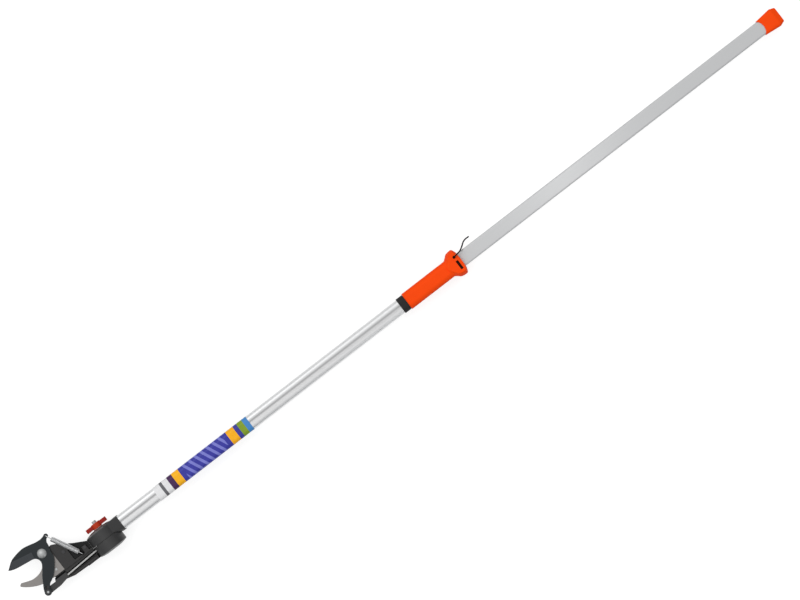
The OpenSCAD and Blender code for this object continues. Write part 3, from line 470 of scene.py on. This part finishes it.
def tubeMaterial():
    t = tubeGroove
    material, tree, shader = startMaterial("brightTube")
    off = mathNode(tree, "ABSOLUTE", mathNode(tree, "SUBTRACT", objectAxes(tree)["Y"], t["middle"]))
    fade = spreadNode(tree, off, 0.0, 1.0, *t["span"])
    fade.node.interpolation_type = "SMOOTHSTEP"
    # painted shade: the colour turns darker towards the middle of the groove
    color = mixColors(tree, fade, (*t["grooveShade"], 1), (*t["color"], 1))
    look = placeGroup(tree, linesGroup, {"Color": color, "Shade": t["shade"], "Stretch": t["stretch"],
                                         "Rough": t["rough"], "Rough Spread": t["spread"]})
    dressShader(tree, shader, look, t["bump"])
    shader.inputs["Metallic"].default_value = 1.0
    return material


finish["brightTube"] = tubeMaterial()


# The wing nut's wings are a darker red than its hub: painted shade on the wings

wingColors = {"hub": (0.50, 0.034, 0.003), "shadedWings": (0.32, 0.010, 0.004), "worn": (0.70, 0.09, 0.03),
              "centre": 1.436, "hubHalf": 0.0062, "fade": (-0.001, 0.002),
              "shade": 0.03, "grain": 2400.0, "rough": 0.4, "specular": 0.2}


def wingMaterial():
    w = wingColors
    material, tree, shader = startMaterial("redPlastic")
    off = mathNode(tree, "ABSOLUTE", mathNode(tree, "SUBTRACT", objectAxes(tree)["X"], w["centre"]))
    share = spreadNode(tree, off, 0.0, 1.0, *[w["hubHalf"] + step for step in w["fade"]])
    color = mixColors(tree, share, (*w["hub"], 1), (*w["shadedWings"], 1))
    look = placeGroup(tree, grainGroup, {"Color": color, "Shade": w["shade"], "Grain Scale": w["grain"],
                                         "Rough": w["rough"], "Rough Spread": plasticLook["spread"]})
    dressShader(tree, shader, look, plasticLook["bump"], w["worn"])
    shader.inputs["Specular IOR Level"].default_value = w["specular"]
    return material


finish["red"] = wingMaterial()


# The grip's slot and rope hole are darkened inside with painted shade

gripHoles = {"slotX": (0.6812, 0.6858), "slotY": (-0.0034, 0.0133), "hole": (0.6835, -0.0106),
             "holeReach": 0.0027, "depth": (0.0, 0.0155), "dark": (0.035, 0.006, 0.002)}


def gripMaterial():
    material = plasticMaterial("gripPlastic", **orangeLook)
    tree = material.node_tree
    base = tree.nodes["Principled BSDF"].inputs["Base Color"]
    axes = objectAxes(tree)
    slot = mathNode(tree, "MULTIPLY", between(tree, axes["X"], *gripHoles["slotX"]),
                    between(tree, axes["Y"], *gripHoles["slotY"]))
    squares = []
    for axis, middle in zip("XY", gripHoles["hole"]):
        off = mathNode(tree, "SUBTRACT", axes[axis], middle)
        squares.append(mathNode(tree, "MULTIPLY", off, off))
    reach = mathNode(tree, "SQRT", mathNode(tree, "ADD", *squares))
    hole = mathNode(tree, "LESS_THAN", reach, gripHoles["holeReach"])
    inside = mathNode(tree, "MULTIPLY", mathNode(tree, "MAXIMUM", slot, hole),
                      between(tree, axes["Z"], *gripHoles["depth"]))
    plain = base.links[0].from_socket
    # the dark colour inside the slot and the hole is painted shade
    tree.links.new(mixColors(tree, inside, plain, (*gripHoles["dark"], 1)), base)
    return material


finish["gripOrange"] = gripMaterial()


# Printed film with plain bands and slanted bars

film = {"start": 1.125, "end": 1.323,
        "bands": [(0.000, (0.060, 0.24, 0.56)), (0.045, (0.22, 0.33, 0.02)), (0.100, (0.045, 0.045, 0.32)),
                  (0.140, (0.95, 0.44, 0.008)), (0.215, (0.040, 0.042, 0.34)), (0.730, (0.95, 0.46, 0.010)),
                  (0.800, (0.060, 0.020, 0.085)), (0.850, (0.78, 0.78, 0.79)), (0.905, (0.14, 0.14, 0.15)),
                  (0.930, (0.80, 0.80, 0.81))],
        "bar": (0.19, 0.20, 0.60), "barEvery": 0.0125, "barShare": 0.42, "barField": (0.26, 0.69),
        "slant": 0.45, "shade": 0.08, "grain": 1500.0, "rough": 0.26, "spread": 0.04, "specular": 0.2,
        "bump": 0.000004}


def filmMaterial():
    material, tree, shader = startMaterial("bandedFilm")
    axes = objectAxes(tree)
    along = spreadNode(tree, axes["X"], 0.0, 1.0, film["start"], film["end"])
    ramp = tree.nodes.new("ShaderNodeValToRGB")
    ramp.color_ramp.interpolation = "CONSTANT"
    marks = ramp.color_ramp.elements
    marks.remove(marks[1])
    for i, (position, color) in enumerate(film["bands"]):
        mark = marks[0] if i == 0 else marks.new(position)
        mark.position = position
        mark.color = (*color, 1)
    tree.links.new(along, ramp.inputs["Fac"])
    slanted = mathNode(tree, "ADD", axes["X"], mathNode(tree, "MULTIPLY", axes["Y"], film["slant"]))
    step = mathNode(tree, "FRACT", mathNode(tree, "DIVIDE", slanted, film["barEvery"]))
    bars = mathNode(tree, "MULTIPLY", mathNode(tree, "LESS_THAN", step, film["barShare"]),
                    between(tree, along, *film["barField"]))
    color = mixColors(tree, bars, ramp.outputs["Color"], (*film["bar"], 1))
    look = placeGroup(tree, grainGroup, {"Color": color, "Shade": film["shade"], "Grain Scale": film["grain"],
                                         "Rough": film["rough"], "Rough Spread": film["spread"]})
    dressShader(tree, shader, look, film["bump"])
    shader.inputs["Specular IOR Level"].default_value = film["specular"]
    return material


finish["film"] = filmMaterial()
print("finishes made:", len(finish))


# Cut-outs too fine for the solids: the blade's ground side, the spring's slot, the floor of the cord's
# channel and the step on the link;
# all but the blade's are lined with near-black painted shade

cutOuts = {  # node: place, size in mm, turn, tilt, corner, finish of the cut, or the name of a panel
    "cutting_blade": [((1577.4, -57.4, 6.1), (56.0, 22.0, 8.0), -11.2, -7.0, 0.0, "groundEdge")],
    "head_cover": [((1485.0, -2.2, 1.8), (5.2, 15.0, 3.0), 27.0, 0.0, 2.5, "recessShade"), "springPocket"],
    "head_back_plate": [((1493.0, 13.8, -2.0), (66.0, 7.0, 0.5), 2.8, 0.0, 0.0, "recessShade"),
                        ((1462.0, 22.0, -0.6), (6.4, 9.6, 2.4), 0.0, 0.0, 0.0, "recessShade"), "railPanel"],
    "pull_link": [((1536.5, 7.9, 1.9), (25.0, 3.4, 2.4), 0.0, 0.0, 0.0, "recessShade")]}
cornerSegments = 8
upright = 1e-6  # an edge that rises by more than this stands upright


def makeCutter(place, size, turn, tilt, corner, look):
    bm = bmesh.new()
    bmesh.ops.create_cube(bm, size=1.0)
    bmesh.ops.scale(bm, vec=Vector(size) * mm, verts=bm.verts)
    if tilt:
        bmesh.ops.translate(bm, vec=(0, size[1] / 2 * mm, size[2] / 2 * mm), verts=bm.verts)
        bmesh.ops.rotate(bm, matrix=Matrix.Rotation(math.radians(tilt), 3, "X"), verts=bm.verts)
    if corner:
        edges = [e for e in bm.edges if abs((e.verts[0].co - e.verts[1].co).z) > upright]
        bmesh.ops.bevel(bm, geom=edges, offset=corner * mm, offset_type="OFFSET", segments=cornerSegments,
                        profile=0.5, affect="EDGES", material=-1, clamp_overlap=True)
    bmesh.ops.rotate(bm, matrix=Matrix.Rotation(math.radians(turn), 3, "Z"), verts=bm.verts)
    bmesh.ops.translate(bm, vec=Vector(place) * mm, verts=bm.verts)
    mesh = meshFrom(bm, "cutter")
    mesh.materials.append(finish[look])
    return addObject("cutter", mesh)


# Sunken panels with a line of painted shade round them, on the rail's flat and on the cover under the spring,
# where the floor is darkened with painted shade too

panels = {  # corners in mm, level of the face, width of the line, depth, finishes of floor and line
    "railPanel": {"outline": [(1521.5, 18.5), (1519.5, 21.3), (1514.5, 22.7), (1467.0, 24.0), (1467.0, 18.5)],
                  "level": -0.6, "line": 0.8, "depth": 0.7, "looks": ("coverBlack", "recessShade")},
    "springPocket": {"outline": [(1500.0, 2.6), (1500.0, -34.0), (1484.0, -30.0), (1468.0, -18.0),
                                 (1461.0, -14.0), (1461.0, 3.6), (1470.4, 3.6), (1470.4, -7.8),
                                 (1479.0, -7.8), (1479.0, 2.6)],
                     "level": 1.8, "line": 1.0, "depth": 1.2, "looks": ("pocketShade", "recessShade")}}
panelCutter = {"clear": 0.02, "height": 2}  # mm above the face at which the line starts, height of the tool


def makePanelCutter(name):
    p = panels[name]
    bm = bmesh.new()
    level = p["level"] + panelCutter["clear"]
    floor = bm.faces.new([bm.verts.new(Vector((x, y, level)) * mm) for x, y in p["outline"]])
    floor.normal_update()
    if floor.normal.z > 0:
        floor.normal_flip()
    up = bmesh.ops.extrude_face_region(bm, geom=[floor], use_keep_orig=True)["geom"]
    bmesh.ops.translate(bm, vec=(0, 0, panelCutter["height"] * mm),
                        verts=[v for v in up if isinstance(v, bmesh.types.BMVert)])
    bmesh.ops.recalc_face_normals(bm, faces=bm.faces)
    floor = min(bm.faces, key=lambda f: f.calc_center_median().z)
    line = bmesh.ops.inset_region(bm, faces=[floor], thickness=p["line"] * mm, depth=p["depth"] * mm,
                                  use_even_offset=True)
    for face in line["faces"]:
        face.material_index = 1
    mesh = meshFrom(bm, "cutter")
    for look in p["looks"]:
        mesh.materials.append(finish[look])
    return addObject("cutter", mesh)


def cutAway(bm, cuts, material):
    mesh = bpy.data.meshes.new("blank")
    bm.to_mesh(mesh)
    mesh.materials.append(material)
    blank = addObject("blank", mesh)
    tools = [makePanelCutter(cut) if cut in panels else makeCutter(*cut) for cut in cuts]
    for tool in tools:
        step = blank.modifiers.new("cut", "BOOLEAN")
        step.operation = "DIFFERENCE"
        step.solver = "EXACT"
        step.material_mode = "TRANSFER"
        step.object = tool
    done = finalMesh(blank)
    bm.clear()
    bm.from_mesh(done)
    for thing in (*tools, blank):
        bpy.data.objects.remove(thing)
    return list(done.materials)


# Solids that keep their shape and get their edges broken
# An edge stays sharp where the new faces would cross the surface

edgeBreak = {"angle": 28.0, "segments": 2, "tries": 8,
             "reach": 1.5, "growth": 1.4,  # widths left sharp round a crossing, and their growth at each try
             "touch": 1e-7, "weld": 4e-6}  # metres


def bevelEdges(bm, indices, width):
    bm.edges.ensure_lookup_table()
    return bmesh.ops.bevel(bm, geom=[bm.edges[i] for i in indices], offset=width, offset_type="OFFSET",
                           segments=edgeBreak["segments"], profile=0.5, affect="EDGES", material=-1,
                           clamp_overlap=False, loop_slide=True)["faces"]


def crossings(bm):
    bmesh.ops.triangulate(bm, faces=bm.faces)
    bm.faces.ensure_lookup_table()
    tree = BVHTree.FromBMesh(bm)
    points = []
    for one, two in tree.overlap(tree):
        if one < two:
            ends = [[v.co for v in bm.faces[i].verts] for i in (one, two)]
            if all((p - q).length > edgeBreak["touch"] for p in ends[0] for q in ends[1]):
                points.append(bm.faces[one].calc_center_median())
    return points


def farFrom(points, ends, reach):
    for point in points:
        spot, part = intersect_point_line(point, *ends)
        spot = ends[0] if part < 0 else ends[1] if part > 1 else spot
        if (point - spot).length < reach:
            return False
    return True


def breakEdges(bm, width):
    bm.edges.index_update()
    sharp = math.radians(edgeBreak["angle"])
    left = {e.index: [v.co.copy() for v in e.verts] for e in bm.edges
            if len(e.link_faces) == 2 and e.is_convex and e.calc_face_angle(0.0) > sharp}
    reach = edgeBreak["reach"] * width
    for _ in range(edgeBreak["tries"]):
        trial = bm.copy()
        bevelEdges(trial, left, width)
        points = crossings(trial)
        trial.free()
        if not points:
            break
        left = {i: ends for i, ends in left.items() if farFrom(points, ends, reach)}
        reach *= edgeBreak["growth"]
    return bevelEdges(bm, left, width) if left else []


cleanUp = {"merge": 2e-6, "sliver": 0.00005,  # metres
           "flat": 0.6, "sharp": 32.0}  # degrees


def softCopy(name, body, material, width):
    bm = bmesh.new()
    bm.from_mesh(nodes[name].data)
    bmesh.ops.remove_doubles(bm, verts=bm.verts, dist=cleanUp["merge"])
    looks = cutAway(bm, cutOuts[name], material) if name in cutOuts else [material]
    bmesh.ops.dissolve_limit(bm, angle_limit=math.radians(cleanUp["flat"]), verts=bm.verts, edges=bm.edges,
                             delimit={"MATERIAL"})
    bmesh.ops.dissolve_degenerate(bm, dist=cleanUp["sliver"], edges=bm.edges)
    rim = bm.faces.layers.float.new("rim")
    if width > 0:
        for face in breakEdges(bm, width):
            face[rim] = 1.0
        bmesh.ops.dissolve_degenerate(bm, dist=edgeBreak["weld"], edges=bm.edges)
    mesh = meshFrom(bm, name + "_soft")
    mesh.shade_smooth()
    mesh.set_sharp_from_angle(angle=math.radians(cleanUp["sharp"]))
    for look in looks:
        mesh.materials.append(look)
    piece = addObject(name + "_soft", mesh)
    even = piece.modifiers.new("evenNormals", "WEIGHTED_NORMAL")  # flats stay flat beside their broken edges
    even.keep_sharp = True
    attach(piece, body)
    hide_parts(name)


softEdges = {  # node: finish, width of the broken edge in mm
    "head_tube": ("brightTube", 0.0), "handle_tube": ("satinTube", 0.0), "collar": ("collarBlack", 0.25),
    "end_cap": ("orange", 0.5), "cap_screw": ("darkScrew", 0.15), "swivel_socket": ("blackPlastic", 0.5),
    "socket_rivets": ("plated", 0.3), "swivel_bolt": ("plated", 0.2), "swivel_washer": ("plated", 0.1),
    "wing_nut": ("red", 0.45), "grip_sleeve": ("gripOrange", 0.3), "grip_bush_front": ("greyPlastic", 0.15),
    "grip_bush_rear": ("greyPlastic", 0.15), "swivel_base": ("blackPlastic", 0.5),
    "head_back_plate": ("coverBlack", 0.2), "neck_screws": ("darkScrew", 0.3),
    "head_cover": ("coverBlack", 0.45), "cover_screws": ("darkScrew", 0.3), "fixed_blade": ("bladeGrey", 0.3),
    "blade_rivets": ("plated", 0.3), "pivot_bolt": ("plated", 0.3), "pivot_washer": ("plated", 0.15),
    "pivot_nut": ("plated", 0.3), "cutting_blade": ("bladeBlack", 0.4), "pull_link": ("blackPlastic", 0.25),
    "link_pin": ("plated", 0.3), "link_washer": ("darkScrew", 0.2), "connector_screws": ("darkScrew", 0.2)}

for name, (look, width) in softEdges.items():
    softCopy(name, bodyOf[name], finish[look], width * mm)
print("solids dressed:", len(softEdges))


# Solids that keep their own mesh, nearly all of them inside the pole or the head

plainFinish = {
    "tube_connector": "greyPlastic", "label_sleeve": "film",
    "return_rope": "blackRope", "pull_rope": "blackRope",
    "upper_sheave_pin": "plated", "lower_sheave_pin": "plated",
    "tackle_block": "plated", "tackle_sheave_pin": "plated",
    "tackle_sheave": "brass", "upper_sheave": "brass", "lower_sheave": "brass", "pivot_bush": "brass",
    "tube_cord": "greyCord", "upper_cord_turn": "greyCord", "lower_cord_turn": "greyCord"}

for name, look in plainFinish.items():
    materials = nodes[name].data.materials
    materials.clear()
    materials.append(finish[look])
print("solids with a finish alone:", len(plainFinish))


# Free end of the rope

ropeTail = {"diameter": 2.5, "start": (683.5, 0, 16), "roundness": 5, "steps": 6,
            "route": [(0, -10.6, -2.1), (-0.1, -10.7, 1), (-1.5, -11, 4), (-4.9, -11.5, 5.6),
                      (-8.9, -12, 4.6), (-12.5, -12.6, 1.4), (-15.1, -13.4, -3), (-17.7, -14.6, -7.6),
                      (-20.5, -16.2, -12), (-23.5, -18.2, -16.4), (-26.3, -20.2, -20.6),
                      (-28.9, -21.8, -24.2), (-31.5, -22.8, -26.8), (-34.5, -23.4, -28.6),
                      (-37.9, -23.5, -29.6), (-42.1, -23.3, -30)]}


def roundCurve(name, radius, roundness):
    curve = bpy.data.curves.new(name, "CURVE")
    curve.dimensions = "3D"
    curve.bevel_depth = radius
    curve.bevel_resolution = roundness
    curve.use_fill_caps = True
    return curve


def makeTail():
    curve = roundCurve("ropeTail", ropeTail["diameter"] / 2 * mm, ropeTail["roundness"])
    line = curve.splines.new("BEZIER")
    line.bezier_points.add(len(ropeTail["route"]) - 1)
    for point, step in zip(line.bezier_points, ropeTail["route"]):
        point.co = (Vector(ropeTail["start"]) + Vector(step)) * mm
        point.handle_left_type = point.handle_right_type = "AUTO"
    line.resolution_u = ropeTail["steps"]
    curve.materials.append(finish["blackRope"])
    tail = addObject("ropeTail", curve)
    bpy.context.view_layer.update()
    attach(tail, "grip")
    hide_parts("cord_tail")


makeTail()
print("rope tail made")


# Return spring, one wire that stretches between the cover and the blade's ear

springWire = {"anchor": (1482.5, 2.7), "ear": (1514.0, -59.3), "level": 7.25, "outer": 4.7, "wire": 1.5,
              "curls": 34, "ringsPerCurl": 20, "curlGrowth": 0.75, "roundness": 3,
              "leads": (6.5, 10.0), "anchorFoot": -1.1, "earFoot": 1.1, "shank": 2.5,
              "bend": [(-2.6, 0), (-1.3, 0.25), (-0.4, 0.9), (0, 2.2)]}  # off the level, along the spring
wireSharp = 40.0  # degrees


def ease(k):
    return k * k * (3 - 2 * k)


def hookPoints(place, foot, way):
    rows = [(foot, 0), (foot + springWire["shank"], 0)]
    rows += [(springWire["level"] + drop, reach) for drop, reach in springWire["bend"]]
    return [Vector((*place, height)) + way * reach for height, reach in rows]


def springPoints():
    s = springWire
    start = Vector((*s["anchor"], s["level"]))
    end = Vector((*s["ear"], s["level"]))
    way = (end - start).normalized()
    up = Vector((0, 0, 1))
    side = up.cross(way)
    span = (end - start).length - sum(s["leads"])
    radius = s["outer"] - s["wire"] / 2
    points = hookPoints(s["anchor"], s["anchorFoot"], way)
    steps = s["curls"] * s["ringsPerCurl"]
    for i in range(steps + 1):
        turn = i / s["ringsPerCurl"]
        grow = ease(min(1.0, turn / s["curlGrowth"], (s["curls"] - turn) / s["curlGrowth"]))
        swing = side * math.cos(2 * math.pi * turn) + up * math.sin(2 * math.pi * turn)
        points.append(start + way * (s["leads"][0] + span * i / steps) + swing * (radius * grow))
    points += reversed(hookPoints(s["ear"], s["earFoot"], -way))
    return [p * mm for p in points], way, start * mm, end * mm


def wirePiece(name, points, radius, roundness, look):
    curve = roundCurve(name + "Line", radius, roundness)
    line = curve.splines.new("POLY")
    line.points.add(len(points) - 1)
    for point, place in zip(line.points, points):
        point.co = (*place, 1)
    holder = addObject(name + "Line", curve)
    mesh = finalMesh(holder)
    mesh.name = name
    bpy.data.objects.remove(holder)
    mesh.shade_smooth()
    mesh.set_sharp_from_angle(angle=math.radians(wireSharp))
    mesh.materials.clear()
    mesh.materials.append(finish[look])
    return addObject(name, mesh)


def makeSpring():
    points, way, start, end = springPoints()
    spring = wirePiece("returnSpring", points, springWire["wire"] / 2 * mm, springWire["roundness"], "spring")
    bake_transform(spring)
    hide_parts("return_spring")


makeSpring()
print("return spring made")


# Cord from the swivel to the pull link

pullCord = {"from": (1440.2, 11.2), "to": (1533.0, 15.7), "diameter": 2.8, "steps": 60, "roundness": 5}


def makePullCord():
    first = Vector((*pullCord["from"], 0)) * mm
    last = Vector((*pullCord["to"], 0)) * mm
    points = [first.lerp(last, i / pullCord["steps"]) for i in range(pullCord["steps"] + 1)]
    cord = wirePiece("pullCord", points, pullCord["diameter"] / 2 * mm, pullCord["roundness"], "greyCord")
    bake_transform(cord)
    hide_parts("pull_cord")


makePullCord()
print("pull cord made")
